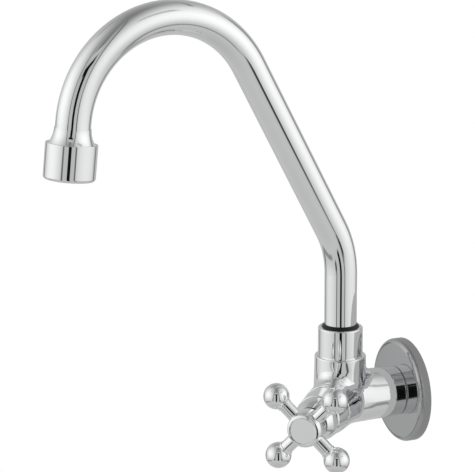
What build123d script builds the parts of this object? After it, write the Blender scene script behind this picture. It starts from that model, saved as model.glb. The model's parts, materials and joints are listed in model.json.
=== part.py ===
from build123d import *
import os
from math import atan2, cos, degrees, pi, radians, sin, sqrt, tan

# Wall-mounted kitchen tap with a swivelling bent spout and a four-ball cross handle.
#
# Frame: millimetres, +Z up. The wall is the plane Y = 0 and the room lies towards -Y.
# The origin is the centre of the inlet on the wall face. The inlet arm runs along -Y to
# the body centre, where the spout's upright swivel axis and the level handle axis cross it.
#
# Water path: inlet bore -> seat ring -> chamber in the front arm -> sloping port ->
# spout socket -> spout tube -> aerator. The spindle only turns; its left-hand thread draws
# the plunger, which is kept from turning by two guide flats, off the seat.

# ---------------------------------------------------------------- driving dimensions

# Clearances and fits (radial, unless the name says otherwise)
RUNNING_GAP = 0.06          # between a turning part and its bore
BRAZE_GAP = 0.04            # between brazed, pressed or push-fitted parts
THREAD_GAP = 0.10           # between plain cylinders that stand for two mating threads
END_GAP = 0.10              # axial play of a part that turns between two faces
GUIDE_GAP = 0.10            # each side of the plunger's guide flats
O_RING_GAP = 0.02           # between an O-ring and the root or bore beside it
O_RING_PLAY = 0.4           # groove width beyond the O-ring's cord
OVERLAP = 1.0               # how far an added shape reaches in, and a cut reaches out
NEAR = 0.01                 # tolerance when an edge is picked by its place

# Inlet arm and body casting
WALL_TO_BODY = 44.5         # wall face to the body centre
ARM_RADIUS = 15.4           # outside of the elbow
ARM_END_RADIUS = 15.0       # to which the inlet arm tapers towards the wall
ARM_COLLAR_RADIUS = 14.6    # machined collar between the inlet arm and the wall flange
ARM_COLLAR_LENGTH = 6.9
ARM_COLLAR_ROUND = 0.8      # rounding at the flange
ARM_END_ROUND = 0.3         # rounding where the rough casting ends at the collar
ELBOW_RADIUS = 24.0         # centre-line bend between the two arms
HANDLE_ANGLE = 45.0         # front arm, turned from the wall's normal towards +X
FRONT_ARM_LENGTH = 25.0     # body centre to the front arm's end face
FRONT_ARM_RADIUS = 14.65    # at the end face, to which the front arm tapers
FRONT_ARM_CHAMFER = 0.3
SOCKET_RADIUS = 15.05       # outside of the upright spout socket, at its top
SOCKET_FOOT_RADIUS = 15.7   # at the body centre, and of the round underside
SOCKET_TOP = 27.1           # top face of the socket, above the body centre
SOCKET_EDGE_ROUND = 0.9     # rounding of the socket's top edge
SOCKET_BLEND = 6.0          # casting fillet between the socket and the arms
NECK_THREAD_RADIUS = 11.9   # thread on the neck that stands on the socket
NECK_LENGTH = 11.5
NECK_THREAD_CHAMFER = 0.5
WATERWAY_RADIUS = 7.5       # inlet bore
WATERWAY_OVERRUN = 2.0      # inlet bore, past the body centre
INLET_COLLAR_RADIUS = 13.6  # plain collar that carries the wall flange
INLET_COLLAR_LENGTH = 3.0   # from the arm's shoulder towards the wall
INLET_THREAD_RADIUS = 13.22  # G 3/4 male thread, major radius
INLET_THREAD_LENGTH = 7.0   # what stands out behind the wall face
INLET_THREAD_CHAMFER = 1.0

# Wall flange and its gasket
FLANGE_RADIUS = 30.9
FLANGE_DEPTH = 7.3
FLANGE_SHEET = 1.8
FLANGE_ROUND = 3.0          # outer rounding of the front edge
FLANGE_HOLE_GAP = 0.1       # flange hole round the arm's collar
FLANGE_GASKET_WIDTH = 5.0
FLANGE_GASKET_ROUND = 0.5
FLANGE_GASKET_GAP = 1.3     # gasket round the arm's collar, which leaves room for a socket's rim

# Seat, chamber and port
CHAMBER_FLOOR = 11.0        # along the handle axis from the body centre
SEAT_BORE_RADIUS = 5.0
SEAT_OUTER_RADIUS = 7.0
SEAT_RECESS = 2.0           # depth of the seat ring in the casting
SEAT_HEIGHT = 2.2           # seat lip above the chamber floor
SEAT_LIP_WIDTH = 0.9
PORT_WIDTH = 12.0           # sloping slot from the chamber to the spout socket
PORT_THICK = 5.0
PORT_LOW = (14.3, 7.0)      # its axis: distance along the handle axis, height
PORT_HIGH = (7.0, 16.0)
SPOUT_BORE_FLOOR = 14.0     # floor of the spout socket, above the body centre

# Headwork, spindle and plunger
HEAD_THREAD_RADIUS = 10.4   # G 1/2 male thread that screws in the front arm
FLOW_GAP = 2.8              # seat lip to the headwork's lower end
HEAD_GASKET_THICK = 1.0
HEAD_FLANGE_RADIUS = 12.5
HEAD_FLANGE_THICK = 2.0
HEX_ACROSS_FLATS = 20.0
HEX_LENGTH = 9.0
HEAD_NECK_RADIUS = 7.6
HEAD_NECK_SUNK = 0.8        # neck's end below the cover's front face
SPINDLE_RADIUS = 5.0
SPINDLE_COLLAR_RADIUS = 5.9
SPINDLE_COLLAR_THICK = 2.2
SPINDLE_SCREW_RADIUS = 4.0
SPINDLE_TIP_GAP = 1.5       # spindle's tip to the plunger's web when fully open
SPINDLE_PITCH = 1.75        # left-hand thread
HANDLE_TURNS = 2.5          # shut to fully open
GLIDE_THICK = 0.5
SPINDLE_WASHER_THICK = 0.5
SPINDLE_WASHER_RADIUS = 7.2
CIRCLIP_THICK = 0.8
CIRCLIP_RADIUS = 6.8
CIRCLIP_GROOVE_DEPTH = 0.6
CIRCLIP_OPENING = 2.4
SPINDLE_O_RING = 1.3        # cord diameter when squeezed
SQUARE_ACROSS = 7.0         # square end of the spindle
SQUARE_SUNK = 0.4           # square's end below the floor of the hub's cup
PLUNGER_RADIUS = 7.4
PLUNGER_FLATS = 12.0
PLUNGER_WEB = 2.0           # metal between the rubber disc and the threaded bore
PLUNGER_SHANK = 11.0
PLUNGER_REST = 0.5          # room left at the ends of the plunger's travel
SEAT_WASHER_RADIUS = 6.9
SEAT_WASHER_THICK = 3.0
SEAT_WASHER_ROUND = 0.3
SEAT_WASHER_PROUD = 1.0
SEAT_WASHER_GAP = 0.05      # rubber disc to seat lip when shut
WASHER_SCREW_RADIUS = 1.5
WASHER_SCREW_HEAD = 3.0
WASHER_SCREW_HEAD_THICK = 1.2
WASHER_SCREW_SLOT = 0.8
WASHER_SCREW_SUNK = 0.2     # screw's end below the top of the plunger's web

# Bonnet cover
COVER_BACK_RADIUS = 14.15
COVER_WAIST_RADIUS = 13.35  # at the end of the tapered part
COVER_WAIST = 39.6          # along the handle axis from the body centre
COVER_STEP = 0.6            # shoulder between the taper and the dome
COVER_DOME_RADIUS = 12.8   # where the dome begins
COVER_FRONT = 51.0
COVER_FRONT_RADIUS = 9.9
COVER_WALL = 1.3
COVER_FRONT_THICK = 3.0

# Cross handle
BALL_PLANE = 58.5           # plane of the four arms, along the handle axis
HUB_RADIUS = 10.45          # from the hub's back to the arm plane
HUB_FRONT_RADIUS = 9.4      # where the barrel-shaped side meets the crown
HUB_CROWN_RADIUS = 5.8      # curve of the crown, between the button and the side
HUB_CROWN_DROP = 0.5
HUB_FRONT_ROUND = 0.8       # rounding between crown and side
HUB_BACK_DEPTH = 5.0        # arm plane to the hub's back
HUB_BACK_ROUND = 0.8
HUB_FRONT_HEIGHT = 6.4      # arm plane to the hub's front
HUB_BOSS_RADIUS = 7.2
HUB_BOSS_GAP = 1.3          # boss to the cover's front face
HUB_WEB = 2.7               # floor of the hub's cup, in front of the arm plane
HANDLE_REST_TURN = 47.0     # first arm, turned about the handle axis
ARM_BAR_RADIUS = 4.0
ARM_SEAT = 9.2              # arm's shoulder, from the handle axis
ARM_SPIGOT_RADIUS = 2.45
ARM_SPIGOT_INNER = 5.2      # inner end of the spigot, from the handle axis
ARM_RING_RADIUS = 4.4       # small round ring at the ball
ARM_RING_WIDTH = 1.2
ARM_RING_ROUND = 0.3
ARM_TIP_SPIGOT = 5.0
BALL_RADIUS = 7.45
BALL_DISTANCE = 24.7        # ball centre from the handle axis
BALL_FACE = 6.2             # flat on the ball, from its centre
BALL_HOLE_REST = 0.3        # room left past the arm's end
HANDLE_COUNT = 4
BUTTON_RADIUS = 7.6
BUTTON_THICK = 1.1
BUTTON_GROOVE = 0.45        # dark ring between the button and the hub
BUTTON_SUNK = 0.1           # button face below the hub's front
BUTTON_SKIRT = 1.3
BUTTON_SKIRT_WALL = 0.9
BUTTON_BEVEL = 0.25
CUP_RADIUS = 6.4            # bore of the hub's cup
HANDLE_SCREW_RADIUS = 2.0
HANDLE_SCREW_LENGTH = 9.0
HANDLE_SCREW_HEAD = 4.0
HANDLE_SCREW_HEAD_THICK = 1.3
HANDLE_SCREW_SLOT = 1.0
HANDLE_SCREW_SLOT_DEPTH = 0.6
HANDLE_SCREW_REST = 0.5     # room left past the screw's end
HANDLE_WASHER_RADIUS = 6.0
HANDLE_WASHER_THICK = 0.7

# Spout tube and its foot
TUBE_RADIUS = 9.5           # 19 mm tube
TUBE_WALL = 1.0
SPOUT_TURN = 8.5            # spout at rest, turned from the wall's normal towards +X
FIRST_BEND_START = 76.5     # above the body centre
FIRST_BEND_RADIUS = 55.6
LEAN_ANGLE = 29.3           # straight part, from the vertical
LEAN_LENGTH = 114.0
ARCH_RADIUS = 58.1
OUTLET_TILT = 6.3           # outlet, from straight down, leaning outwards
OUTLET_STRAIGHT = 10.5      # arch end to the cap's rim
FERRULE_BORE_RADIUS = 6.5
FERRULE_FOOT_GAP = 2.5      # ferrule's lower end above the socket floor
FERRULE_SPIGOT = 12.0
FERRULE_ROUND = 0.4
FERRULE_LEAD = 0.6          # rounding that leads the ferrule past its seals
TUBE_FOOT_GAP = 0.8         # tube's foot above the retaining ring
SPOUT_O_RING = 1.45         # cord diameter when squeezed
O_RING_SPACING = 8.0
THRUST_WASHER_THICK = 0.8
RETAINING_RING_THICK = 1.5
RETAINING_RING_RADIUS = 11.3
RETAINING_RING_DEPTH = 0.9  # depth of its groove in the ferrule
RETAINING_RING_SPLIT = 4.0

# Swivel nut and black collar
NUT_RADIUS = 13.1
NUT_FOOT_GROOVE = 0.5       # height of the groove round the nut's foot
NUT_FOOT_DEPTH = 0.6
NUT_TOP = 44.2              # above the body centre
NUT_LIP_THICK = 1.3
NUT_LIP_RADIUS = 11.15      # hole in the lip
NUT_TOP_BEVEL = 0.9
COLLAR_PROUD = 1.8          # collar above the nut
COLLAR_TOP_RADIUS = 9.95
COLLAR_ROUND = 0.2

# Outlet adapter, cap and aerator
CAP_RADIUS = 14.0
CAP_HEIGHT = 19.6
CAP_TOP_WALL = 1.0
CAP_FOOT_ROUND = 1.8
CAP_TOP_ROUND = 0.35
CAP_LIP_THICK = 1.6
CAP_MOUTH_RADIUS = 10.2
CAP_MOUTH_ROUND = 0.3
CAP_RECESS = 0.9            # top face of the thread below the cap's rim
FLARE_HEIGHT = 8.0          # above the cap's rim
FLARE_TOP_WALL = 0.35
FLARE_GAP = 0.15            # flare's foot inside the cap's rim
OUTLET_THREAD_RADIUS = 12.0  # M24 x 1 male thread
OUTLET_THREAD_LENGTH = 8.0
OUTLET_BORE_RADIUS = 8.5
TUBE_SOCKET = 2.0           # tube's end below the cap's rim
INSERT_RADIUS = 11.5
INSERT_WALL = 1.1
AERATOR_GASKET_THICK = 1.8
INSERT_LIP_WIDTH = 0.9
INSERT_LIP_THICK = 0.8
DIFFUSER_THICK = 1.9
DIFFUSER_HOLES = 20
DIFFUSER_HOLE_RADIUS = 0.6
DIFFUSER_RINGS = (0.5, 0.72)  # the two rings of holes, as shares of the disc's radius
SCREEN_THICK = 0.4
SCREEN_PITCH = 2.4
SCREEN_HOLE = 1.5
SCREEN_RIM_WIDTH = 0.8
SCREEN_RIM_HEIGHT = 0.6     # rim above the mesh, which keeps the screens apart
STRAIGHTENER_CELL = 2.2     # across the flats of a honeycomb cell
STRAIGHTENER_WALL = 0.55

# ---------------------------------------------------------------- frames

HANDLE_DIRECTION = Vector(sin(radians(HANDLE_ANGLE)), -cos(radians(HANDLE_ANGLE)), 0)
HANDLE_SIDE = Vector(cos(radians(HANDLE_ANGLE)), sin(radians(HANDLE_ANGLE)), 0)
SPOUT_DIRECTION = Vector(sin(radians(SPOUT_TURN)), -cos(radians(SPOUT_TURN)), 0)
BODY_CENTRE = Vector(0, -WALL_TO_BODY, 0)

INLET_FRAME = Plane(origin=(0, 0, 0), x_dir=(1, 0, 0), z_dir=(0, 1, 0))
HANDLE_FRAME = Plane(origin=BODY_CENTRE, x_dir=HANDLE_SIDE, z_dir=HANDLE_DIRECTION)
SPOUT_FRAME = Plane(origin=BODY_CENTRE, x_dir=SPOUT_DIRECTION, z_dir=(0, 0, 1))
BODY_FRAME = Plane(origin=BODY_CENTRE)

# ---------------------------------------------------------------- stations

LIFT = HANDLE_TURNS * SPINDLE_PITCH

# Along the handle axis, from the body centre outwards
SEAT_TOP = CHAMBER_FLOOR + SEAT_HEIGHT
WASHER_LOW = SEAT_TOP + SEAT_WASHER_GAP
PLUNGER_LOW = WASHER_LOW + SEAT_WASHER_PROUD
WASHER_TOP = WASHER_LOW + SEAT_WASHER_THICK
PLUNGER_HEAD_TOP = WASHER_TOP + PLUNGER_WEB
PLUNGER_TOP = PLUNGER_HEAD_TOP + PLUNGER_SHANK
HEAD_LOW = SEAT_TOP + FLOW_GAP
GUIDE_LOW = PLUNGER_HEAD_TOP + LIFT + PLUNGER_REST
SPINDLE_COLLAR_LOW = PLUNGER_TOP + LIFT + PLUNGER_REST
SPINDLE_COLLAR_TOP = SPINDLE_COLLAR_LOW + SPINDLE_COLLAR_THICK
GLIDE_LOW = SPINDLE_COLLAR_TOP + END_GAP / 2
HEAD_SHOULDER = GLIDE_LOW + GLIDE_THICK + END_GAP / 2
SPINDLE_TIP = PLUNGER_HEAD_TOP + LIFT + SPINDLE_TIP_GAP
HEAD_FLANGE_LOW = FRONT_ARM_LENGTH + HEAD_GASKET_THICK
HEX_LOW = HEAD_FLANGE_LOW + HEAD_FLANGE_THICK
HEX_TOP = HEX_LOW + HEX_LENGTH
HEAD_TOP = COVER_FRONT - HEAD_NECK_SUNK
SPINDLE_WASHER_LOW = HEAD_TOP + END_GAP / 2
CIRCLIP_LOW = SPINDLE_WASHER_LOW + SPINDLE_WASHER_THICK + END_GAP / 2
CIRCLIP_TOP = CIRCLIP_LOW + CIRCLIP_THICK
HUB_BACK = BALL_PLANE - HUB_BACK_DEPTH
HUB_FRONT = BALL_PLANE + HUB_FRONT_HEIGHT
HUB_BOSS_LOW = COVER_FRONT + HUB_BOSS_GAP
HUB_CUP_FLOOR = BALL_PLANE + HUB_WEB
SQUARE_TOP = HUB_CUP_FLOOR - SQUARE_SUNK
BUTTON_TOP = HUB_FRONT - BUTTON_SUNK
BUTTON_SEAT = BUTTON_TOP - BUTTON_THICK

# Along the spout's swivel axis, from the body centre upwards
NECK_TOP = SOCKET_TOP + NECK_LENGTH
FERRULE_LOW = SPOUT_BORE_FLOOR + FERRULE_FOOT_GAP
THRUST_WASHER_LOW = NECK_TOP
THRUST_WASHER_TOP = THRUST_WASHER_LOW + THRUST_WASHER_THICK
RETAINING_RING_LOW = THRUST_WASHER_TOP + END_GAP / 2
RETAINING_RING_TOP = RETAINING_RING_LOW + RETAINING_RING_THICK
COLLAR_LOW = RETAINING_RING_TOP + END_GAP / 2
COLLAR_FLANGE_TOP = NUT_TOP - NUT_LIP_THICK
TUBE_FOOT = RETAINING_RING_TOP + TUBE_FOOT_GAP
NUT_BORE_RADIUS = NECK_THREAD_RADIUS + THREAD_GAP
SPOUT_BORE_RADIUS = TUBE_RADIUS + RUNNING_GAP

# ---------------------------------------------------------------- helpers


def face_of(*corners):
    """Closed outline of (radius, height) corners; a third number rounds that corner."""
    points = [corner[:2] for corner in corners]
    roundings = [corner[2] if len(corner) > 2 else 0 for corner in corners]
    return make_face(FilletPolyline(*points, radius=roundings, close=True))


def turned(*corners):
    """Solid of revolution about the local Z axis."""
    return revolve(Plane.XZ * face_of(*corners), Axis.Z)


def ring(inner, outer, low, high, edge=0):
    """Flat ring or sleeve between two radii and two heights."""
    return turned((inner, low, edge), (outer, low, edge), (outer, high, edge), (inner, high, edge))


def disc(radius, low, high):
    """Plain cylinder between two heights."""
    return Pos(0, 0, low) * Cylinder(radius, high - low, align=(Align.CENTER, Align.CENTER, Align.MIN))


def prism(across_flats, low, high, sides=6):
    """Regular prism of the given distance across its flats."""
    outline = RegularPolygon(across_flats / 2, sides, major_radius=False)
    return Pos(0, 0, low) * extrude(outline, high - low)


def o_ring(root, bore, height):
    """Squeezed O-ring that fills a groove between its root and the bore."""
    inner = root + O_RING_GAP
    outer = bore - O_RING_GAP
    cord = (outer - inner) / 2
    return Pos(0, 0, height) * Torus(inner + cord, cord)


def groove(shaft_radius, depth, middle, width):
    """Ring to cut from a shaft for a groove."""
    return ring(shaft_radius - depth, shaft_radius + OVERLAP, middle - width / 2, middle + width / 2)


def rims_at(solid, radius, height):
    """Round edges about the local Z axis with the given radius and height."""
    return solid.edges().filter_by(GeomType.CIRCLE).filter_by(
        lambda rim: abs(rim.radius - radius) < NEAR and abs(rim.arc_center.Z - height) < NEAR)


def honeycomb(radius, cell, pitch):
    """Centres of a hexagonal pattern of cells that fits inside a circle."""
    rows = int(radius / pitch) + 1
    centres = []
    for row in range(-rows, rows + 1):
        for column in range(-rows, rows + 1):
            x = pitch * (column + 0.5 * (row % 2))
            y = pitch * row * sqrt(3) / 2
            if sqrt(x * x + y * y) + cell / sqrt(3) < radius:
                centres.append((x, y))
    return centres


PARTS = {}

# ---------------------------------------------------------------- body casting


def elbow():
    """Inlet arm along -Y and front arm along the handle axis, each a cone, with a bend between."""
    tangent = ELBOW_RADIUS * tan(radians(HANDLE_ANGLE / 2))
    bend_start = (0, tangent - WALL_TO_BODY, 0)
    turn = JernArc(start=bend_start, tangent=(0, -1), radius=ELBOW_RADIUS, arc_size=HANDLE_ANGLE)
    bar = sweep(Plane(origin=bend_start, z_dir=(0, -1, 0)) * Circle(ARM_RADIUS), path=turn)
    bar += INLET_FRAME * turned(
        (0, tangent - WALL_TO_BODY),
        (ARM_RADIUS, tangent - WALL_TO_BODY),
        (ARM_END_RADIUS, -FLANGE_DEPTH - ARM_COLLAR_LENGTH, ARM_END_ROUND),
        (0, -FLANGE_DEPTH - ARM_COLLAR_LENGTH),
    )
    return bar + HANDLE_FRAME * turned(
        (0, tangent),
        (ARM_RADIUS, tangent),
        (FRONT_ARM_RADIUS, FRONT_ARM_LENGTH - FRONT_ARM_CHAMFER),
        (FRONT_ARM_RADIUS - FRONT_ARM_CHAMFER, FRONT_ARM_LENGTH),
        (0, FRONT_ARM_LENGTH),
    )


def casting():
    """Arms and spout socket, before any bore is cut."""
    socket = turned((0, 0), (SOCKET_FOOT_RADIUS, 0), (SOCKET_RADIUS, SOCKET_TOP, SOCKET_EDGE_ROUND),
                    (0, SOCKET_TOP))
    body = elbow() + BODY_FRAME * (socket + Sphere(SOCKET_FOOT_RADIUS))

    def on_joint(edge):
        middle = edge @ 0.5 - BODY_CENTRE
        reach = sqrt(middle.X ** 2 + middle.Y ** 2)
        taper = (SOCKET_FOOT_RADIUS - SOCKET_RADIUS) * middle.Z / SOCKET_TOP
        return abs(reach + taper - SOCKET_FOOT_RADIUS) < NEAR and NEAR < middle.Z < SOCKET_TOP - OVERLAP

    return fillet(body.edges().filter_by(on_joint), SOCKET_BLEND)


def sloping_port():
    """Slot that leads from the chamber up into the spout socket."""
    run = PORT_HIGH[0] - PORT_LOW[0]
    rise = PORT_HIGH[1] - PORT_LOW[1]
    length = sqrt(run * run + rise * rise)
    slot = Box(PORT_THICK, PORT_WIDTH, length)
    middle = ((PORT_LOW[0] + PORT_HIGH[0]) / 2, (PORT_LOW[1] + PORT_HIGH[1]) / 2)
    upright = Plane(origin=BODY_CENTRE, x_dir=HANDLE_DIRECTION, z_dir=(0, 0, 1))
    return upright * Pos(middle[0], 0, middle[1]) * Rot(0, degrees(atan2(run, rise)), 0) * slot


def valve_body():
    body = casting()
    body += INLET_FRAME * turned(
        (0, -FLANGE_DEPTH - ARM_COLLAR_LENGTH - OVERLAP),
        (ARM_COLLAR_RADIUS, -FLANGE_DEPTH - ARM_COLLAR_LENGTH - OVERLAP),
        (ARM_COLLAR_RADIUS, -FLANGE_DEPTH, ARM_COLLAR_ROUND),
        (INLET_COLLAR_RADIUS, -FLANGE_DEPTH),
        (INLET_COLLAR_RADIUS, INLET_COLLAR_LENGTH - FLANGE_DEPTH),
        (INLET_THREAD_RADIUS, INLET_COLLAR_LENGTH - FLANGE_DEPTH),
        (INLET_THREAD_RADIUS, INLET_THREAD_LENGTH - INLET_THREAD_CHAMFER),
        (INLET_THREAD_RADIUS - INLET_THREAD_CHAMFER, INLET_THREAD_LENGTH),
        (0, INLET_THREAD_LENGTH),
    )
    body += BODY_FRAME * turned(
        (0, SOCKET_TOP - OVERLAP),
        (NECK_THREAD_RADIUS, SOCKET_TOP - OVERLAP),
        (NECK_THREAD_RADIUS, NECK_TOP - NECK_THREAD_CHAMFER),
        (NECK_THREAD_RADIUS - NECK_THREAD_CHAMFER, NECK_TOP),
        (0, NECK_TOP),
    )
    body -= INLET_FRAME * disc(WATERWAY_RADIUS, -WALL_TO_BODY - WATERWAY_OVERRUN, INLET_THREAD_LENGTH)
    body -= HANDLE_FRAME * disc(SEAT_BORE_RADIUS, 0, CHAMBER_FLOOR)
    body -= HANDLE_FRAME * disc(SEAT_OUTER_RADIUS + BRAZE_GAP, CHAMBER_FLOOR - SEAT_RECESS, CHAMBER_FLOOR)
    body -= HANDLE_FRAME * disc(HEAD_THREAD_RADIUS + THREAD_GAP, CHAMBER_FLOOR, FRONT_ARM_LENGTH)
    body -= BODY_FRAME * disc(SPOUT_BORE_RADIUS, SPOUT_BORE_FLOOR, NECK_TOP)
    body -= sloping_port()
    return body


def wall_flange():
    hole = INLET_COLLAR_RADIUS + FLANGE_HOLE_GAP
    rim_inner = FLANGE_RADIUS - FLANGE_SHEET
    return INLET_FRAME * turned(
        (hole, -FLANGE_DEPTH),
        (FLANGE_RADIUS, -FLANGE_DEPTH, FLANGE_ROUND),
        (FLANGE_RADIUS, 0),
        (rim_inner, 0),
        (rim_inner, FLANGE_SHEET - FLANGE_DEPTH, FLANGE_ROUND - FLANGE_SHEET),
        (hole, FLANGE_SHEET - FLANGE_DEPTH),
    )


def flange_gasket():
    """Foam ring in the hollow of the flange, between its front wall and the wall face."""
    inner = INLET_COLLAR_RADIUS + FLANGE_GASKET_GAP
    outer = inner + FLANGE_GASKET_WIDTH
    return INLET_FRAME * ring(inner, outer, FLANGE_SHEET - FLANGE_DEPTH, 0, FLANGE_GASKET_ROUND)


def valve_seat():
    low = CHAMBER_FLOOR - SEAT_RECESS
    lip_outer = SEAT_BORE_RADIUS + SEAT_LIP_WIDTH
    return HANDLE_FRAME * turned(
        (SEAT_BORE_RADIUS, low),
        (SEAT_OUTER_RADIUS, low),
        (SEAT_OUTER_RADIUS, SEAT_TOP - SEAT_HEIGHT / 2),
        (lip_outer, SEAT_TOP),
        (SEAT_BORE_RADIUS, SEAT_TOP),
    )


PARTS["valve_body"] = valve_body()
PARTS["wall_flange"] = wall_flange()
PARTS["flange_gasket"] = flange_gasket()
PARTS["valve_seat"] = valve_seat()

# ---------------------------------------------------------------- headwork


def headwork_body():
    """Hexagon, thread and neck outside; guide flats, collar bore and journal inside."""
    head = disc(HEAD_THREAD_RADIUS, HEAD_LOW, HEAD_FLANGE_LOW)
    head += disc(HEAD_FLANGE_RADIUS, HEAD_FLANGE_LOW, HEX_LOW)
    head += prism(HEX_ACROSS_FLATS, HEX_LOW, HEX_TOP)
    head += disc(HEAD_NECK_RADIUS, HEX_TOP, HEAD_TOP)
    cavity = PLUNGER_RADIUS + GUIDE_GAP
    flats = PLUNGER_FLATS + 2 * GUIDE_GAP
    guide = disc(cavity, GUIDE_LOW, SPINDLE_COLLAR_LOW)
    guide &= Pos(0, 0, GUIDE_LOW) * Box(2 * cavity, flats, SPINDLE_COLLAR_LOW - GUIDE_LOW,
                                        align=(Align.CENTER, Align.CENTER, Align.MIN))
    head -= disc(cavity, HEAD_LOW, GUIDE_LOW)
    head -= guide
    head -= disc(SPINDLE_COLLAR_RADIUS + RUNNING_GAP, SPINDLE_COLLAR_LOW, HEAD_SHOULDER)
    head -= disc(SPINDLE_RADIUS + RUNNING_GAP, HEAD_SHOULDER, HEAD_TOP)
    return HANDLE_FRAME * head


def headwork_gasket():
    inner = HEAD_THREAD_RADIUS + THREAD_GAP
    return HANDLE_FRAME * ring(inner, HEAD_FLANGE_RADIUS, FRONT_ARM_LENGTH, HEAD_FLANGE_LOW)


def cover_outline(inset):
    """Half outline of the cover: taper, small shoulder and dome, moved in by the wall."""
    dome_drop = COVER_DOME_RADIUS - COVER_FRONT_RADIUS
    dome_run = COVER_FRONT - COVER_WAIST - COVER_STEP
    dome_radius = (dome_drop ** 2 + dome_run ** 2) / (2 * dome_drop)
    dome_start = (COVER_DOME_RADIUS - inset, COVER_WAIST + COVER_STEP)
    dome_end = (COVER_FRONT_RADIUS - inset, COVER_FRONT)
    half_way = atan2(dome_run, dome_radius - dome_drop) / 2
    dome_middle = (COVER_DOME_RADIUS - inset - dome_radius * (1 - cos(half_way)),
                   dome_start[1] + dome_radius * sin(half_way))
    taper = Line((COVER_BACK_RADIUS - inset, FRONT_ARM_LENGTH), (COVER_WAIST_RADIUS - inset, COVER_WAIST))
    shoulder = Line(taper @ 1, dome_start)
    dome = ThreePointArc(dome_start, dome_middle, dome_end)
    front = Line(dome_end, (0, COVER_FRONT))
    axis = Line((0, COVER_FRONT), (0, FRONT_ARM_LENGTH))
    back = Line((0, FRONT_ARM_LENGTH), taper @ 0)
    return make_face([taper, shoulder, dome, front, axis, back])


def bonnet_cover():
    shell = revolve(Plane.XZ * cover_outline(0), Axis.Z)
    hollow = revolve(Plane.XZ * cover_outline(COVER_WALL), Axis.Z)
    hollow &= disc(2 * COVER_BACK_RADIUS, FRONT_ARM_LENGTH, COVER_FRONT - COVER_FRONT_THICK)
    shell -= hollow
    shell -= disc(HEAD_NECK_RADIUS + THREAD_GAP, FRONT_ARM_LENGTH, COVER_FRONT)
    return HANDLE_FRAME * shell


def valve_plunger():
    plunger = disc(PLUNGER_RADIUS, PLUNGER_LOW, PLUNGER_TOP)
    for side in (-1, 1):
        offset = side * (PLUNGER_FLATS / 2 + PLUNGER_RADIUS)
        plunger -= Pos(0, offset, PLUNGER_HEAD_TOP) * Box(
            4 * PLUNGER_RADIUS, 2 * PLUNGER_RADIUS, PLUNGER_SHANK,
            align=(Align.CENTER, Align.CENTER, Align.MIN))
    plunger -= disc(SEAT_WASHER_RADIUS + BRAZE_GAP, PLUNGER_LOW, WASHER_TOP)
    plunger -= disc(WASHER_SCREW_RADIUS + BRAZE_GAP, PLUNGER_LOW, PLUNGER_HEAD_TOP)
    plunger -= disc(SPINDLE_SCREW_RADIUS + RUNNING_GAP, PLUNGER_HEAD_TOP, PLUNGER_TOP)
    return HANDLE_FRAME * plunger


def seat_washer():
    hole = WASHER_SCREW_RADIUS + BRAZE_GAP
    return HANDLE_FRAME * turned(
        (hole, WASHER_LOW),
        (SEAT_WASHER_RADIUS, WASHER_LOW, SEAT_WASHER_ROUND),
        (SEAT_WASHER_RADIUS, WASHER_TOP),
        (hole, WASHER_TOP),
    )


def washer_screw():
    screw = disc(WASHER_SCREW_HEAD, WASHER_LOW - WASHER_SCREW_HEAD_THICK, WASHER_LOW)
    screw += disc(WASHER_SCREW_RADIUS, WASHER_LOW, PLUNGER_HEAD_TOP - WASHER_SCREW_SUNK)
    slot = Box(2 * WASHER_SCREW_HEAD + OVERLAP, WASHER_SCREW_SLOT, WASHER_SCREW_HEAD_THICK)
    screw -= Pos(0, 0, WASHER_LOW - WASHER_SCREW_HEAD_THICK) * slot
    return HANDLE_FRAME * screw


PARTS["headwork_body"] = headwork_body()
PARTS["headwork_gasket"] = headwork_gasket()
PARTS["bonnet_cover"] = bonnet_cover()
PARTS["valve_plunger"] = valve_plunger()
PARTS["seat_washer"] = seat_washer()
PARTS["washer_screw"] = washer_screw()

# ---------------------------------------------------------------- spindle and handle

SPINDLE_SEAL_DEPTH = SPINDLE_O_RING - RUNNING_GAP + 2 * O_RING_GAP
SEAL_SPAN = HEAD_TOP - HEAD_SHOULDER
SPINDLE_SEALS = {"inner": HEAD_SHOULDER + SEAL_SPAN / 3, "outer": HEAD_SHOULDER + 2 * SEAL_SPAN / 3}


def spindle():
    shaft = disc(SPINDLE_SCREW_RADIUS, SPINDLE_TIP, SPINDLE_COLLAR_LOW)
    shaft += disc(SPINDLE_COLLAR_RADIUS, SPINDLE_COLLAR_LOW, SPINDLE_COLLAR_TOP)
    shaft += disc(SPINDLE_RADIUS, SPINDLE_COLLAR_TOP, HUB_BOSS_LOW)
    shaft += prism(SQUARE_ACROSS, HUB_BOSS_LOW, SQUARE_TOP, sides=4)
    shaft -= disc(HANDLE_SCREW_RADIUS + BRAZE_GAP, HUB_CUP_FLOOR - HANDLE_SCREW_LENGTH, SQUARE_TOP)
    for height in SPINDLE_SEALS.values():
        shaft -= groove(SPINDLE_RADIUS, SPINDLE_SEAL_DEPTH, height, SPINDLE_O_RING + O_RING_PLAY)
    shaft -= groove(SPINDLE_RADIUS, CIRCLIP_GROOVE_DEPTH, (CIRCLIP_LOW + CIRCLIP_TOP) / 2, CIRCLIP_THICK)
    return HANDLE_FRAME * shaft


def split_ring(inner, outer, low, high, opening):
    """Flat ring with a gap cut through one side."""
    gap = Pos(outer, 0, low) * Box(2 * outer, opening, high - low,
                                   align=(Align.CENTER, Align.CENTER, Align.MIN))
    return ring(inner, outer, low, high) - gap


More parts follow.
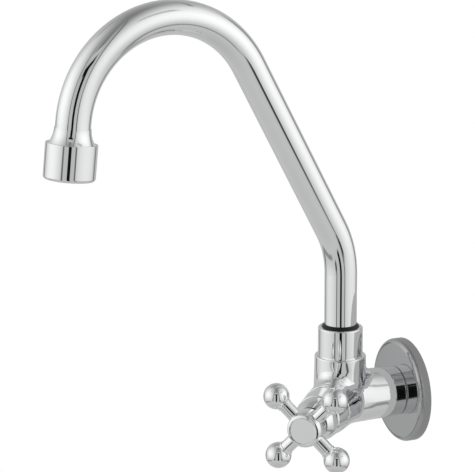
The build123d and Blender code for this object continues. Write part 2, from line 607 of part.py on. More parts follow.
def hub_blank():
    """Boss, back, barrel-shaped side and crown of the hub, round the seat of the button."""
    mouth = BUTTON_RADIUS + BUTTON_GROOVE
    shoulder = (HUB_FRONT_RADIUS, HUB_FRONT - HUB_CROWN_DROP)
    side = TangentArc((HUB_RADIUS, BALL_PLANE), shoulder, tangent=(0, 1))
    crown = RadiusArc(shoulder, (mouth, HUB_FRONT), -HUB_CROWN_RADIUS)
    rest = Polyline((mouth, HUB_FRONT), (mouth, BUTTON_SEAT), (0, BUTTON_SEAT), (0, HUB_BOSS_LOW),
                    (HUB_BOSS_RADIUS, HUB_BOSS_LOW), (HUB_BOSS_RADIUS, HUB_BACK),
                    (HUB_RADIUS, HUB_BACK), (HUB_RADIUS, BALL_PLANE))
    blank = revolve(Plane.XZ * make_face([side, crown, rest]), Axis.Z)
    blank = fillet(rims_at(blank, *shoulder), HUB_FRONT_ROUND)
    return fillet(rims_at(blank, HUB_RADIUS, HUB_BACK), HUB_BACK_ROUND)


def handle_hub():
    """Round hub with four seats for the arms, a square hole and a cup in front for screw and button."""
    hub = hub_blank()
    hub -= disc(CUP_RADIUS, HUB_CUP_FLOOR, BUTTON_SEAT)
    hub -= prism(SQUARE_ACROSS + 2 * BRAZE_GAP, HUB_BOSS_LOW, HUB_CUP_FLOOR, sides=4)
    for arm_frame in ARM_FRAMES:
        hub -= arm_frame * disc(ARM_BAR_RADIUS + BRAZE_GAP, ARM_SEAT, HUB_RADIUS + OVERLAP)
        hub -= arm_frame * disc(ARM_SPIGOT_RADIUS + BRAZE_GAP, ARM_SPIGOT_INNER, ARM_SEAT)
    return HANDLE_FRAME * hub


def arm_frame(index):
    """Frame of one arm: local Z runs out along the arm, from the handle axis."""
    angle = radians(HANDLE_REST_TURN + 360 * index / HANDLE_COUNT)
    return Plane(origin=(0, 0, BALL_PLANE), x_dir=(0, 0, 1), z_dir=(cos(angle), sin(angle), 0))


ARM_FRAMES = [arm_frame(index) for index in range(HANDLE_COUNT)]
BALL_SEAT = BALL_DISTANCE - BALL_FACE


def handle_arm():
    """Round bar with a spigot at each end and a small ring at the ball."""
    return turned(
        (0, ARM_SPIGOT_INNER),
        (ARM_SPIGOT_RADIUS, ARM_SPIGOT_INNER),
        (ARM_SPIGOT_RADIUS, ARM_SEAT),
        (ARM_BAR_RADIUS, ARM_SEAT),
        (ARM_BAR_RADIUS, BALL_SEAT - ARM_RING_WIDTH),
        (ARM_RING_RADIUS, BALL_SEAT - ARM_RING_WIDTH, ARM_RING_ROUND),
        (ARM_RING_RADIUS, BALL_SEAT, ARM_RING_ROUND),
        (ARM_SPIGOT_RADIUS, BALL_SEAT),
        (ARM_SPIGOT_RADIUS, BALL_SEAT + ARM_TIP_SPIGOT),
        (0, BALL_SEAT + ARM_TIP_SPIGOT),
    )


def handle_ball():
    """Ball with a flat and a blind hole where the arm screws in."""
    ball = Pos(0, 0, BALL_DISTANCE) * Sphere(BALL_RADIUS)
    ball -= disc(BALL_RADIUS, BALL_DISTANCE - BALL_RADIUS - OVERLAP, BALL_SEAT)
    hole_end = BALL_SEAT + ARM_TIP_SPIGOT + BALL_HOLE_REST
    return ball - disc(ARM_SPIGOT_RADIUS + BRAZE_GAP, BALL_SEAT, hole_end)


def handle_screw():
    head_low = HUB_CUP_FLOOR + HANDLE_WASHER_THICK
    head_top = head_low + HANDLE_SCREW_HEAD_THICK
    screw = disc(HANDLE_SCREW_RADIUS, HUB_CUP_FLOOR - HANDLE_SCREW_LENGTH + HANDLE_SCREW_REST, head_low)
    screw += disc(HANDLE_SCREW_HEAD, head_low, head_top)
    slot = Box(2 * HANDLE_SCREW_HEAD + OVERLAP, HANDLE_SCREW_SLOT, 2 * HANDLE_SCREW_SLOT_DEPTH)
    return HANDLE_FRAME * (screw - Pos(0, 0, head_top) * slot)


def index_button():
    """Flat cap with a skirt that pushes into the hub's cup."""
    cap = ring(0, BUTTON_RADIUS, BUTTON_SEAT, BUTTON_TOP)
    skirt_outer = CUP_RADIUS - BRAZE_GAP
    cap += ring(skirt_outer - BUTTON_SKIRT_WALL, skirt_outer, BUTTON_SEAT - BUTTON_SKIRT, BUTTON_SEAT)
    front_rim = cap.edges().filter_by(GeomType.CIRCLE).group_by(Axis.Z)[-1]
    return HANDLE_FRAME * chamfer(front_rim, BUTTON_BEVEL)


PARTS["spindle"] = spindle()
for name, height in SPINDLE_SEALS.items():
    seal = o_ring(SPINDLE_RADIUS - SPINDLE_SEAL_DEPTH, SPINDLE_RADIUS + RUNNING_GAP, height)
    PARTS["spindle_o_ring_" + name] = HANDLE_FRAME * seal
PARTS["spindle_glide_ring"] = HANDLE_FRAME * ring(
    SPINDLE_RADIUS + RUNNING_GAP, SPINDLE_COLLAR_RADIUS, GLIDE_LOW, GLIDE_LOW + GLIDE_THICK)
PARTS["spindle_washer"] = HANDLE_FRAME * ring(
    SPINDLE_RADIUS + RUNNING_GAP, SPINDLE_WASHER_RADIUS, SPINDLE_WASHER_LOW,
    SPINDLE_WASHER_LOW + SPINDLE_WASHER_THICK)
PARTS["spindle_circlip"] = HANDLE_FRAME * split_ring(
    SPINDLE_RADIUS - CIRCLIP_GROOVE_DEPTH, CIRCLIP_RADIUS, CIRCLIP_LOW, CIRCLIP_TOP, CIRCLIP_OPENING)
PARTS["handle_hub"] = handle_hub()
for number, frame in enumerate(ARM_FRAMES, start=1):
    PARTS["handle_arm_" + str(number)] = HANDLE_FRAME * (frame * handle_arm())
    PARTS["handle_ball_" + str(number)] = HANDLE_FRAME * (frame * handle_ball())
PARTS["handle_screw_washer"] = HANDLE_FRAME * ring(
    HANDLE_SCREW_RADIUS + BRAZE_GAP, HANDLE_WASHER_RADIUS, HUB_CUP_FLOOR,
    HUB_CUP_FLOOR + HANDLE_WASHER_THICK)
PARTS["handle_screw"] = handle_screw()
PARTS["index_button"] = index_button()

# ---------------------------------------------------------------- swivel joint of the spout

SPOUT_SEAL_DEPTH = SPOUT_O_RING - RUNNING_GAP + 2 * O_RING_GAP
SPOUT_SEAL_MIDDLE = (FERRULE_LOW + NECK_TOP) / 2
SPOUT_SEALS = {"lower": SPOUT_SEAL_MIDDLE - O_RING_SPACING / 2,
               "upper": SPOUT_SEAL_MIDDLE + O_RING_SPACING / 2}


def swivel_nut():
    return BODY_FRAME * turned(
        (NUT_BORE_RADIUS, SOCKET_TOP),
        (NUT_RADIUS - NUT_FOOT_DEPTH, SOCKET_TOP),
        (NUT_RADIUS - NUT_FOOT_DEPTH, SOCKET_TOP + NUT_FOOT_GROOVE),
        (NUT_RADIUS, SOCKET_TOP + NUT_FOOT_GROOVE),
        (NUT_RADIUS, NUT_TOP, NUT_TOP_BEVEL),
        (NUT_LIP_RADIUS, NUT_TOP),
        (NUT_LIP_RADIUS, COLLAR_FLANGE_TOP),
        (NUT_BORE_RADIUS, COLLAR_FLANGE_TOP),
    )


def spout_collar():
    """Guide ring: a flange under the nut's lip and a cone that stands out of its mouth."""
    bore = TUBE_RADIUS + RUNNING_GAP
    outer = NUT_LIP_RADIUS - BRAZE_GAP
    return BODY_FRAME * turned(
        (bore, COLLAR_LOW),
        (NUT_BORE_RADIUS - BRAZE_GAP, COLLAR_LOW),
        (NUT_BORE_RADIUS - BRAZE_GAP, COLLAR_FLANGE_TOP),
        (outer, COLLAR_FLANGE_TOP),
        (outer, NUT_TOP, COLLAR_ROUND),
        (COLLAR_TOP_RADIUS, NUT_TOP + COLLAR_PROUD, COLLAR_ROUND),
        (bore, NUT_TOP + COLLAR_PROUD),
    )


def spout_ferrule():
    """Brass foot of the spout with its two seal grooves and the retaining ring's groove."""
    inside = TUBE_RADIUS - TUBE_WALL - BRAZE_GAP
    ferrule = turned(
        (FERRULE_BORE_RADIUS, FERRULE_LOW, FERRULE_ROUND),
        (TUBE_RADIUS, FERRULE_LOW, FERRULE_LEAD),
        (TUBE_RADIUS, TUBE_FOOT),
        (inside, TUBE_FOOT),
        (inside, TUBE_FOOT + FERRULE_SPIGOT, FERRULE_ROUND),
        (FERRULE_BORE_RADIUS, TUBE_FOOT + FERRULE_SPIGOT, FERRULE_ROUND),
    )
    for height in SPOUT_SEALS.values():
        ferrule -= groove(TUBE_RADIUS, SPOUT_SEAL_DEPTH, height, SPOUT_O_RING + O_RING_PLAY)
    middle = (RETAINING_RING_LOW + RETAINING_RING_TOP) / 2
    ferrule -= groove(TUBE_RADIUS, RETAINING_RING_DEPTH, middle, RETAINING_RING_THICK)
    return SPOUT_FRAME * ferrule


PARTS["swivel_nut"] = swivel_nut()
PARTS["spout_collar"] = spout_collar()
PARTS["thrust_washer"] = BODY_FRAME * ring(
    TUBE_RADIUS + RUNNING_GAP, NECK_THREAD_RADIUS, THRUST_WASHER_LOW, THRUST_WASHER_TOP)
PARTS["spout_ferrule"] = spout_ferrule()
PARTS["spout_retaining_ring"] = SPOUT_FRAME * split_ring(
    TUBE_RADIUS - RETAINING_RING_DEPTH, RETAINING_RING_RADIUS, RETAINING_RING_LOW,
    RETAINING_RING_TOP, RETAINING_RING_SPLIT)
for name, height in SPOUT_SEALS.items():
    seal = o_ring(TUBE_RADIUS - SPOUT_SEAL_DEPTH, SPOUT_BORE_RADIUS, height)
    PARTS["spout_o_ring_" + name] = SPOUT_FRAME * seal

# ---------------------------------------------------------------- spout tube

SPOUT_SIDE = Plane(origin=BODY_CENTRE, x_dir=SPOUT_DIRECTION,
                   z_dir=SPOUT_DIRECTION.cross(Vector(0, 0, 1)))


def spout_path():
    """Centre line in reach and height: rise, first bend, lean, arch and short outlet."""
    rise = Line((0, TUBE_FOOT), (0, FIRST_BEND_START))
    bend = JernArc(start=rise @ 1, tangent=(0, 1), radius=FIRST_BEND_RADIUS, arc_size=-LEAN_ANGLE)
    lean = Line(bend @ 1, bend @ 1 + (bend % 1) * LEAN_LENGTH)
    arch_turn = 180 - LEAN_ANGLE - OUTLET_TILT
    arch = JernArc(start=lean @ 1, tangent=bend % 1, radius=ARCH_RADIUS, arc_size=-arch_turn)
    drop = Line(arch @ 1, arch @ 1 + (arch % 1) * (OUTLET_STRAIGHT + TUBE_SOCKET))
    return [rise, bend, lean, arch, drop]


def spout_tube():
    path = Wire([SPOUT_SIDE * piece.edge() for piece in spout_path()])
    section = Circle(TUBE_RADIUS) - Circle(TUBE_RADIUS - TUBE_WALL)
    start = Plane(origin=path @ 0, x_dir=SPOUT_DIRECTION, z_dir=path % 0)
    return sweep(start * section, path=path)


def outlet_frame():
    """Frame on the cap's rim: local Z points back up the spout."""
    drop = spout_path()[-1]
    rim = drop @ 0 + (drop % 0) * OUTLET_STRAIGHT
    origin = SPOUT_SIDE.from_local_coords(rim)
    up = SPOUT_SIDE.from_local_coords(rim - drop % 0) - origin
    return Plane(origin=origin, x_dir=SPOUT_SIDE.z_dir, z_dir=up)


PARTS["spout_tube"] = spout_tube()

# ---------------------------------------------------------------- outlet and aerator

OUTLET_FRAME = outlet_frame()
CAP_BORE_RADIUS = OUTLET_THREAD_RADIUS + THREAD_GAP
CAP_TOP_BORE = CAP_RADIUS - CAP_TOP_WALL
FLARE_FOOT_RADIUS = CAP_TOP_BORE - FLARE_GAP
THREAD_END = -CAP_RECESS - OUTLET_THREAD_LENGTH
GASKET_LOW = THREAD_END - AERATOR_GASKET_THICK
CAP_FOOT = -CAP_HEIGHT
INSERT_LOW = CAP_FOOT + CAP_LIP_THICK
INSERT_BORE = INSERT_RADIUS - INSERT_WALL
INSERT_REACH = INSERT_BORE - BRAZE_GAP
DIFFUSER_LOW = GASKET_LOW - DIFFUSER_THICK
UPPER_SCREEN = DIFFUSER_LOW - SCREEN_THICK - SCREEN_RIM_HEIGHT
LOWER_SCREEN = UPPER_SCREEN - SCREEN_THICK - SCREEN_RIM_HEIGHT
STRAIGHTENER_LOW = INSERT_LOW + INSERT_LIP_THICK


def outlet_adapter():
    """Trumpet-shaped socket brazed on the tube, with the thread for the cap below it."""
    flare_top = TUBE_RADIUS + BRAZE_GAP + FLARE_TOP_WALL
    spread = FLARE_FOOT_RADIUS - flare_top
    height = FLARE_HEIGHT + CAP_RECESS
    sweep_radius = (spread ** 2 + height ** 2) / (2 * spread)
    half_way = atan2(height, sweep_radius - spread) / 2
    foot = (FLARE_FOOT_RADIUS, -CAP_RECESS)
    top = (flare_top, FLARE_HEIGHT)
    middle = (flare_top + sweep_radius * (1 - cos(half_way)), FLARE_HEIGHT - sweep_radius * sin(half_way))
    socket = TUBE_RADIUS + BRAZE_GAP
    corners = [top, (socket, FLARE_HEIGHT), (socket, -TUBE_SOCKET), (OUTLET_BORE_RADIUS, -TUBE_SOCKET),
               (OUTLET_BORE_RADIUS, THREAD_END), (OUTLET_THREAD_RADIUS, THREAD_END),
               (OUTLET_THREAD_RADIUS, -CAP_RECESS), foot]
    outline = make_face([ThreePointArc(foot, middle, top), Polyline(*corners)])
    return OUTLET_FRAME * revolve(Plane.XZ * outline, Axis.Z)


def aerator_cap():
    return OUTLET_FRAME * turned(
        (CAP_TOP_BORE, 0, CAP_TOP_ROUND),
        (CAP_RADIUS, 0, CAP_TOP_ROUND),
        (CAP_RADIUS, CAP_FOOT, CAP_FOOT_ROUND),
        (CAP_MOUTH_RADIUS, CAP_FOOT, CAP_MOUTH_ROUND),
        (CAP_MOUTH_RADIUS, INSERT_LOW),
        (CAP_BORE_RADIUS, INSERT_LOW),
        (CAP_BORE_RADIUS, -CAP_RECESS),
        (CAP_TOP_BORE, -CAP_RECESS),
    )


def aerator_housing():
    """Cup of the insert: a tube with an inward lip at its foot that carries the grid."""
    return OUTLET_FRAME * turned(
        (INSERT_BORE, GASKET_LOW),
        (INSERT_RADIUS, GASKET_LOW),
        (INSERT_RADIUS, INSERT_LOW),
        (INSERT_BORE - INSERT_LIP_WIDTH, INSERT_LOW),
        (INSERT_BORE - INSERT_LIP_WIDTH, STRAIGHTENER_LOW),
        (INSERT_BORE, STRAIGHTENER_LOW),
    )


def flow_straightener():
    """Honeycomb grid that stands on the cup's lip."""
    grid = disc(INSERT_REACH, STRAIGHTENER_LOW, LOWER_SCREEN)
    open_radius = INSERT_BORE - INSERT_LIP_WIDTH
    centres = honeycomb(open_radius, STRAIGHTENER_CELL, STRAIGHTENER_CELL + STRAIGHTENER_WALL)
    cell = Rot(0, 0, 30) * prism(STRAIGHTENER_CELL, STRAIGHTENER_LOW, LOWER_SCREEN)
    return OUTLET_FRAME * (grid - [Pos(x, y, 0) * cell for x, y in centres])


def aerator_screen(low):
    """Metal screen with square openings and a raised rim."""
    screen = disc(INSERT_REACH, low, low + SCREEN_THICK)
    open_radius = INSERT_REACH - SCREEN_RIM_WIDTH
    count = int(open_radius / SCREEN_PITCH) + 1
    opening = Box(SCREEN_HOLE, SCREEN_HOLE, SCREEN_THICK, align=(Align.CENTER, Align.CENTER, Align.MIN))
    holes = []
    for row in range(-count, count + 1):
        for column in range(-count, count + 1):
            x = row * SCREEN_PITCH
            y = column * SCREEN_PITCH
            if sqrt(x * x + y * y) + SCREEN_HOLE / sqrt(2) < open_radius:
                holes.append(Pos(x, y, low) * opening)
    screen -= holes
    rim_low = low + SCREEN_THICK
    screen += ring(open_radius, INSERT_REACH, rim_low, rim_low + SCREEN_RIM_HEIGHT)
    return OUTLET_FRAME * screen


def aerator_diffuser():
    """Disc with two rings of small holes."""
    plate = disc(INSERT_REACH, DIFFUSER_LOW, GASKET_LOW)
    holes = []
    for index in range(DIFFUSER_HOLES):
        distance = INSERT_REACH * DIFFUSER_RINGS[index % 2]
        angle = 2 * pi * index / DIFFUSER_HOLES
        hole = disc(DIFFUSER_HOLE_RADIUS, DIFFUSER_LOW, GASKET_LOW)
        holes.append(Pos(distance * cos(angle), distance * sin(angle), 0) * hole)
    return OUTLET_FRAME * (plate - holes)


PARTS["outlet_adapter"] = outlet_adapter()
PARTS["aerator_cap"] = aerator_cap()
PARTS["aerator_gasket"] = OUTLET_FRAME * ring(OUTLET_BORE_RADIUS, INSERT_RADIUS, GASKET_LOW, THREAD_END)
PARTS["aerator_housing"] = aerator_housing()
PARTS["flow_straightener"] = flow_straightener()
PARTS["aerator_screen_lower"] = aerator_screen(LOWER_SCREEN)
PARTS["aerator_screen_upper"] = aerator_screen(UPPER_SCREEN)
PARTS["aerator_diffuser"] = aerator_diffuser()

# ---------------------------------------------------------------- output

os.makedirs("parts", exist_ok=True)
for name, shape in PARTS.items():
    export_step(shape, "parts/" + name + ".step")
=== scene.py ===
"""Looks of the wall tap: a procedural finish for every CAD node, the studio and the camera."""

import json
import math

import bpy
from mathutils import Matrix, Vector

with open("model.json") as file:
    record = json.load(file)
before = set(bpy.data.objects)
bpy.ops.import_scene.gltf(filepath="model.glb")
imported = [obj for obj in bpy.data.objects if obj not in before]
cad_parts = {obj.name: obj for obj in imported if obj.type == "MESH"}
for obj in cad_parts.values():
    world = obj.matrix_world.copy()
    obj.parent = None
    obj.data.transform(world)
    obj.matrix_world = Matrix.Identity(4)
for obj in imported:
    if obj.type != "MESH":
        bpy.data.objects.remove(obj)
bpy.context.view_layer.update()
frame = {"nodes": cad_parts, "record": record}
nodes = frame["nodes"]
scene = bpy.context.scene

# Camera of the photograph, in the row frame: lengths in metres, lens and sensor in millimetres
AZIMUTH = math.radians(66.802)
ELEVATION = math.radians(13.251)
ROLL = math.radians(-0.289)
CAMERA_AT = Vector((0.96843, -0.52485, 0.35290))
LENS = 145.02
SENSOR_WIDTH = 36
CLIP_START = 0.01
CLIP_END = 60

# Light tent. A direction has a turn, from the camera's side of the tap and positive towards the
# right of the picture, and a lift above the horizon, both in degrees.
TENT_STRENGTH = 1.08
ROOM_BY_LIFT = (
    (-90, 0.43), (-60, 0.47), (-42, 0.51), (-25, 0.47), (0, 0.47), (15, 0.45),
    (30, 0.41), (45, 0.36), (60, 0.29), (75, 0.22), (90, 0.19),
)
BOXES_BY_TURN = (
    (-158, 0), (-135, 0.12), (-120, 0.29), (-105, 0.45), (-90, 0.52), (-75, 0.50), (-60, 0.40),
    (-45, 0.25), (-28, 0.04), (-20, 0), (17, 0), (26, 0.08), (35, 0.23), (45, 0.35), (60, 0.47),
    (75, 0.54), (90, 0.54), (105, 0.48), (120, 0.30), (135, 0.14), (155, 0),
)
BOXES_BY_LIFT = (
    (-34, 0), (-25, 0.22), (-15, 0.52), (-5, 0.77), (5, 0.94), (15, 1.0), (25, 1.0),
    (35, 0.86), (45, 0.74), (55, 0.60), (65, 0.41), (75, 0.22), (85, 0),
)

# Patches painted on the tent one over the other: level, then (centre, half width, soft edge) of
# the turn and of the lift.
PATCHES = (
    # Left rear, which the flange mirrors, and a dark upright on each side, mirrored at outlines
    (0.58, (-129, 9, 12), (-20, 8, 12)),
    (0.20, (-136, 3.5, 4), (-18, 10, 12)),
    (0.22, (135, 4, 8), (-8, 30, 14)),
    # Edge of the table below each softbox
    (0.24, (-90, 27, 14), (-35, 1.5, 3.0)),
    (0.26, (80, 40, 14), (-38, 1.5, 3.5)),
    # Seam across the right softbox
    (0.46, (60, 11, 8), (42, 3.0, 2.5)),
    # Dark feet at the inner edges of the softboxes
    (0.02, (-34, 3, 4), (-25, 2, 6)),
    (0.03, (33, 3, 5), (-26, 2, 6)),
    # Thin dark frames up the same edges
    (0.04, (-31, 1.2, 2.6), (-14, 8, 12)),
    (0.09, (26, 1.2, 2.6), (-14, 8, 12)),
    (0.15, (-28, 0.8, 2.4), (24, 28, 10)),
    (0.14, (24, 0.8, 2.4), (32, 38, 8)),
    # Front between the softboxes: dim above, then a grey bar and a dark one
    (0.20, (-1, 8, 4), (66, 20, 3)),
    (0.47, (-1, 12, 4), (40.5, 2.5, 2.5)),
    (0.006, (-1, 12, 2), (30, 2.5, 2)),
    # Dark slit in the front
    (0.006, (-1, 6.0, 1.0), (-2, 31, 3)),
)

# Rail round the back of the tent
RAIL_LEVEL = 0.25
RAIL_TURNS = (115, 125)     # it fades in between these turns on either side
RAIL_LIFT = (50, 1.0, 2.0)

# Grey card behind the flange
CARD_RADIUS = 0.055
CARD_SIDES = 64
CARD_Y = 0.002
CARD_LEVEL = 0.42

FLOOR_SIZE = 12             # half of a side
FLOOR_Z = -0.34

# Noise that every finish has: its cells in a metre, its detail and the depth of the grain
CLOUD_CELLS = 60
CLOUD_DETAIL = 3
GRAIN_DETAIL = 2
GRAIN_DEPTH = 0.0002

# Thread on the inlet tail, a plain cylinder in the CAD
THREAD_PITCH = 0.001814     # G 3/4
THREAD_START = -0.0042
THREAD_RUNOUT = 0.0003
THREAD_DEPTH = 0.0009
THREAD_REACH = (0.0115, 0.012)  # between the tail's bore and its outside
THREAD_ROUGHNESS = (0.16, 0.30)

# Brushed rim of the flange
RIM_START = 0.0300
RIM_EDGE = 0.0004
RIM_CELLS = 1400
RIM_DETAIL = 4
RIM_DEPTH = 0.00012
RIM_ROUGHNESS = (0.14, 0.34)

CHROME = (0.93, 0.935, 0.94)
DULL_CHROME = (0.49, 0.495, 0.50)
BRUSHED_CHROME = (0.50, 0.50, 0.51)
CUT_CHROME = (0.80, 0.79, 0.77)


def camera():
    """Camera at the photograph's place, looking down at the tap."""
    back = Vector((math.sin(AZIMUTH) * math.cos(ELEVATION),
                   -math.cos(AZIMUTH) * math.cos(ELEVATION), math.sin(ELEVATION)))
    level = Vector((0, 0, 1)).cross(back).normalized()
    upright = back.cross(level)
    right = level * math.cos(ROLL) + upright * math.sin(ROLL)
    up = back.cross(right)
    data = bpy.data.cameras.new("camera")
    data.lens = LENS
    data.sensor_width = SENSOR_WIDTH
    data.sensor_fit = "HORIZONTAL"
    data.clip_start = CLIP_START
    data.clip_end = CLIP_END
    obj = bpy.data.objects.new("camera", data)
    obj.matrix_world = Matrix((right, up, back)).transposed().to_4x4()
    obj.matrix_world.translation = CAMERA_AT
    scene.collection.objects.link(obj)
    scene.camera = obj


# ---------------------------------------------------------------- shader helpers


class Graph:
    """Short calls that add nodes to one material or world."""

    def __init__(self, owner):
        owner.use_nodes = True
        self.tree = owner.node_tree
        self.tree.nodes.clear()

    def add(self, kind, **settings):
        node = self.tree.nodes.new(kind)
        for name, value in settings.items():
            setattr(node, name, value)
        return node

    def link(self, source, target):
        self.tree.links.new(source, target)

    def put(self, socket, value):
        """Links a socket to another one, or sets its number."""
        if isinstance(value, bpy.types.NodeSocket):
            self.link(value, socket)
        else:
            socket.default_value = value

    def math(self, operation, *values):
        node = self.add("ShaderNodeMath", operation=operation)
        for socket, value in zip(node.inputs, values):
            self.put(socket, value)
        return node.outputs[0]

    def ramp(self, place, stops):
        """Grey level along a list of (place from 0 to 1, level)."""
        node = self.add("ShaderNodeValToRGB")
        node.color_ramp.interpolation = "LINEAR"
        elements = node.color_ramp.elements
        while len(elements) < len(stops):
            elements.new(0.5)
        for element, (stop, level) in zip(elements, stops):
            element.position = stop
            element.color = (level, level, level, 1)
        self.link(place, node.inputs[0])
        return node.outputs[0]

    def near(self, value, centre, half_width, soft):
        """1 within half_width of centre, falling to 0 over soft."""
        distance = self.math("ABSOLUTE", self.math("SUBTRACT", value, centre))
        node = self.add("ShaderNodeMapRange", interpolation_type="SMOOTHSTEP")
        self.link(distance, node.inputs["Value"])
        node.inputs["From Min"].default_value = half_width
        node.inputs["From Max"].default_value = half_width + soft
        node.inputs["To Min"].default_value = 1
        node.inputs["To Max"].default_value = 0
        return node.outputs[0]

    def step(self, value, low, high):
        """0 below low, 1 above high."""
        node = self.add("ShaderNodeMapRange", interpolation_type="SMOOTHSTEP")
        self.link(value, node.inputs["Value"])
        node.inputs["From Min"].default_value = low
        node.inputs["From Max"].default_value = high
        return node.outputs[0]

    def blend(self, low, high, share):
        """Number between low and high."""
        node = self.add("ShaderNodeMix", data_type="FLOAT")
        self.link(share, node.inputs["Factor"])
        self.put(node.inputs["A"], low)
        self.put(node.inputs["B"], high)
        return node.outputs["Result"]

    def mix_colour(self, low, high, share):
        """Colour between two, each a socket or three numbers."""
        node = self.add("ShaderNodeMix", data_type="RGBA")
        self.link(share, node.inputs["Factor"])
        for socket, colour in ((node.inputs[6], low), (node.inputs[7], high)):
            if isinstance(colour, bpy.types.NodeSocket):
                self.link(colour, socket)
            else:
                socket.default_value = (*colour, 1)
        return node.outputs[2]

    def noise(self, place, cells, detail):
        """Noise from 0 to 1 with the given number of cells in a metre."""
        node = self.add("ShaderNodeTexNoise")
        node.inputs["Scale"].default_value = cells
        node.inputs["Detail"].default_value = detail
        self.link(place, node.inputs["Vector"])
        return node.outputs[0]

    def bump(self, height, strength, depth, under=None):
        """Normal of a relief, laid over an earlier one."""
        node = self.add("ShaderNodeBump")
        node.inputs["Strength"].default_value = strength
        node.inputs["Distance"].default_value = depth
        self.link(height, node.inputs["Height"])
        if under:
            self.link(under, node.inputs["Normal"])
        return node.outputs[0]

    def about_y(self, place):
        """Place along the inlet axis, angle about it and distance from it."""
        parts = self.add("ShaderNodeSeparateXYZ")
        self.link(place, parts.inputs[0])
        x, y, z = parts.outputs[:3]
        around = self.math("ARCTAN2", z, x)
        squares = self.math("ADD", self.math("MULTIPLY", x, x), self.math("MULTIPLY", z, z))
        return y, around, self.math("SQRT", squares)


# ---------------------------------------------------------------- studio


def studio():
    """Light tent that only the tap sees; the camera sees plain white.

    It has a tall softbox on each side, a grey front with a dark slit, and a grey table.
    """
    world = bpy.data.worlds.new("studio")
    scene.world = world
    g = Graph(world)
    direction = g.add("ShaderNodeTexCoord").outputs["Generated"]

    def along(axis):
        node = g.add("ShaderNodeVectorMath", operation="DOT_PRODUCT")
        g.link(direction, node.inputs[0])
        node.inputs[1].default_value = axis
        return node.outputs["Value"]

    ahead = along((math.sin(AZIMUTH), -math.cos(AZIMUTH), 0))
    across = along((math.cos(AZIMUTH), math.sin(AZIMUTH), 0))
    to_degrees = 180 / math.pi
    turn = g.math("MULTIPLY", g.math("ARCTAN2", across, ahead), to_degrees)
    lift = g.math("MULTIPLY", g.math("ARCSINE", along((0, 0, 1))), to_degrees)

    def curve(angle, reach, stops):
        """Level along an angle that runs from -reach to reach."""
        place = g.math("DIVIDE", g.math("ADD", angle, reach), 2 * reach)
        return g.ramp(place, [((stop + reach) / (2 * reach), level) for stop, level in stops])

    boxes = g.math("MULTIPLY", curve(turn, 180, BOXES_BY_TURN), curve(lift, 90, BOXES_BY_LIFT))
    light = g.math("ADD", curve(lift, 90, ROOM_BY_LIFT), boxes)
    for level, turns, lifts in PATCHES:
        share = g.math("MULTIPLY", g.near(turn, *turns), g.near(lift, *lifts))
        light = g.blend(light, level, share)
    behind = g.step(g.math("ABSOLUTE", turn), *RAIL_TURNS)
    light = g.blend(light, RAIL_LEVEL, g.math("MULTIPLY", behind, g.near(lift, *RAIL_LIFT)))

    tent = g.add("ShaderNodeBackground")
    grey = g.add("ShaderNodeCombineColor")
    for channel in grey.inputs[:3]:
        g.link(light, channel)
    g.link(grey.outputs[0], tent.inputs["Color"])
    tent.inputs["Strength"].default_value = TENT_STRENGTH
    plain = g.add("ShaderNodeBackground")
    plain.inputs["Color"].default_value = (1, 1, 1, 1)
    plain.inputs["Strength"].default_value = 1.0
    mix = g.add("ShaderNodeMixShader")
    g.link(g.add("ShaderNodeLightPath").outputs["Is Camera Ray"], mix.inputs[0])
    g.link(tent.outputs[0], mix.inputs[1])
    g.link(plain.outputs[0], mix.inputs[2])
    g.link(mix.outputs[0], g.add("ShaderNodeOutputWorld").inputs["Surface"])


def grey_card():
    """Round grey card behind the flange, seen only as a reflection in the chrome."""
    mesh = bpy.data.meshes.new("grey_card")
    turns = [math.tau * side / CARD_SIDES for side in range(CARD_SIDES)]
    rim = [(CARD_RADIUS * math.cos(turn), 0, CARD_RADIUS * math.sin(turn)) for turn in turns]
    mesh.from_pydata(rim, [], [tuple(range(CARD_SIDES))])
    obj = bpy.data.objects.new("grey_card", mesh)
    obj.location.y = CARD_Y
    scene.collection.objects.link(obj)
    material = bpy.data.materials.new("grey_card")
    g = Graph(material)
    grey = g.add("ShaderNodeEmission")
    grey.inputs["Color"].default_value = (CARD_LEVEL, CARD_LEVEL, CARD_LEVEL, 1)
    g.link(grey.outputs[0], g.add("ShaderNodeOutputMaterial").inputs["Surface"])
    mesh.materials.append(material)
    obj.visible_camera = False
    obj.visible_diffuse = False
    obj.visible_shadow = False


def floor():
    """Plain white floor well below the tap, seen from above only and not mirrored in the chrome."""
    mesh = bpy.data.meshes.new("floor")
    corners = [(-FLOOR_SIZE, -FLOOR_SIZE, 0), (FLOOR_SIZE, -FLOOR_SIZE, 0),
               (FLOOR_SIZE, FLOOR_SIZE, 0), (-FLOOR_SIZE, FLOOR_SIZE, 0)]
    mesh.from_pydata(corners, [], [(0, 1, 2, 3)])
    obj = bpy.data.objects.new("floor", mesh)
    obj.location.z = FLOOR_Z
    scene.collection.objects.link(obj)
    material = bpy.data.materials.new("floor_white")
    g = Graph(material)
    white = g.add("ShaderNodeEmission")
    clear = g.add("ShaderNodeBsdfTransparent")
    mix = g.add("ShaderNodeMixShader")
    g.link(g.add("ShaderNodeNewGeometry").outputs["Backfacing"], mix.inputs[0])
    g.link(white.outputs[0], mix.inputs[1])
    g.link(clear.outputs[0], mix.inputs[2])
    g.link(mix.outputs[0], g.add("ShaderNodeOutputMaterial").inputs["Surface"])
    mesh.materials.append(material)
    obj.visible_glossy = False
    obj.visible_diffuse = False
    obj.visible_shadow = False


# ---------------------------------------------------------------- materials


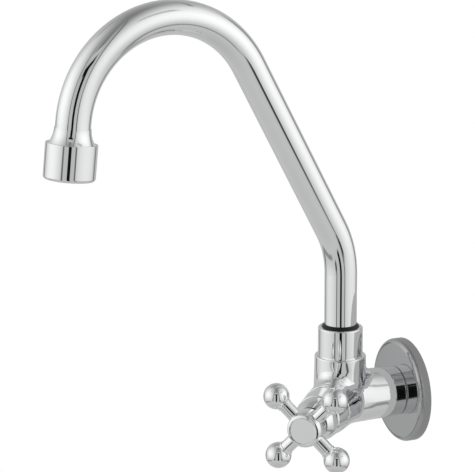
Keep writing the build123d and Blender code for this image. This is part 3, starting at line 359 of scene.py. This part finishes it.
def surface(name, colour, *, metallic, roughness, wander, grain, grain_cells, shade,
            feature=None, specular=0.5):
    """Principled material whose roughness, tone and fine relief follow noise in object space.

    The roughness wanders either way and the colour is shaded by a share either way. A feature
    adds a worked zone: its share, tone, roughness, relief and depth of relief.
    """
    material = bpy.data.materials.new(name)
    g = Graph(material)
    shader = g.add("ShaderNodeBsdfPrincipled")
    shader.inputs["Metallic"].default_value = metallic
    shader.inputs["Specular IOR Level"].default_value = specular
    place = g.add("ShaderNodeTexCoord").outputs["Object"]
    cloud = g.noise(place, CLOUD_CELLS, CLOUD_DETAIL)
    rough = g.blend(roughness - wander, roughness + wander, cloud)
    darker = [channel * (1 - shade) for channel in colour]
    lighter = [channel * (1 + shade) for channel in colour]
    tone = g.mix_colour(darker, lighter, cloud)
    normal = g.bump(g.noise(place, grain_cells, GRAIN_DETAIL), grain, GRAIN_DEPTH)
    if feature:
        share, worked_tone, worked_rough, relief, depth = feature(g, place)
        rough = g.blend(rough, worked_rough, share)
        tone = g.mix_colour(tone, worked_tone, share)
        normal = g.bump(g.math("MULTIPLY", relief, share), 1.0, depth, normal)
    g.link(rough, shader.inputs["Roughness"])
    g.link(tone, shader.inputs["Base Color"])
    g.link(normal, shader.inputs["Normal"])
    g.link(shader.outputs[0], g.add("ShaderNodeOutputMaterial").inputs["Surface"])
    return material


def inlet_thread(g, place):
    """Screw thread cut on the inlet tail."""
    along, around, reach = g.about_y(place)
    turns = g.math("ADD", g.math("DIVIDE", along, THREAD_PITCH), g.math("DIVIDE", around, math.tau))
    profile = g.math("MULTIPLY", g.math("PINGPONG", turns, 0.5), 2)
    begun = g.step(along, THREAD_START, THREAD_START + THREAD_RUNOUT)
    share = g.math("MULTIPLY", begun, g.step(reach, *THREAD_REACH))
    return share, CUT_CHROME, g.blend(*THREAD_ROUGHNESS, profile), profile, THREAD_DEPTH


def brushed_rim(g, place):
    """Rim of the flange, brushed and rougher than its face."""
    reach = g.about_y(place)[2]
    share = g.step(reach, RIM_START, RIM_START + RIM_EDGE)
    streaks = g.noise(place, RIM_CELLS, RIM_DETAIL)
    return share, BRUSHED_CHROME, g.blend(*RIM_ROUGHNESS, streaks), streaks, RIM_DEPTH


MATERIALS = {
    "chrome": surface(
        "polished_chrome", CHROME, metallic=1, roughness=0.022, wander=0.008,
        grain=0.010, grain_cells=160, shade=0.015),
    "brass": surface(
        "turned_brass", (0.78, 0.58, 0.28), metallic=1, roughness=0.28, wander=0.08,
        grain=0.10, grain_cells=900, shade=0.06),
    "stainless_steel": surface(
        "stainless_steel", (0.60, 0.60, 0.61), metallic=1, roughness=0.30, wander=0.08,
        grain=0.05, grain_cells=900, shade=0.04),
    "rubber": surface(
        "black_rubber", (0.018, 0.018, 0.019), metallic=0, roughness=0.62, wander=0.10,
        grain=0.25, grain_cells=1500, shade=0.25),
    "black_plastic": surface(
        "black_acetal", (0.008, 0.008, 0.009), metallic=0, roughness=0.30, wander=0.05,
        grain=0.04, grain_cells=700, shade=0.2, specular=0.3),
    "fibre": surface(
        "red_fibre", (0.36, 0.12, 0.07), metallic=0, roughness=0.75, wander=0.10,
        grain=0.30, grain_cells=1500, shade=0.2),
    "white_plastic": surface(
        "white_acetal", (0.80, 0.80, 0.77), metallic=0, roughness=0.38, wander=0.08,
        grain=0.06, grain_cells=900, shade=0.03),
}
OWN_MATERIALS = {
    "valve_body": surface(
        "cast_chrome", CHROME, metallic=1, roughness=0.028, wander=0.010,
        grain=0.025, grain_cells=110, shade=0.02, feature=inlet_thread),
    "wall_flange": surface(
        "pressed_chrome", DULL_CHROME, metallic=1, roughness=0.045, wander=0.014,
        grain=0.015, grain_cells=90, shade=0.02, feature=brushed_rim),
}


def dress():
    """Gives every CAD node its own material, or that of its slot."""
    for entry in frame["record"]["subparts"]:
        material = OWN_MATERIALS.get(entry["node"], MATERIALS[entry["material_slot"]])
        obj = nodes[entry["node"]]
        obj.data.materials.clear()
        obj.data.materials.append(material)


camera()
studio()
grey_card()
floor()
dress()
scene.view_settings.view_transform = "Standard"
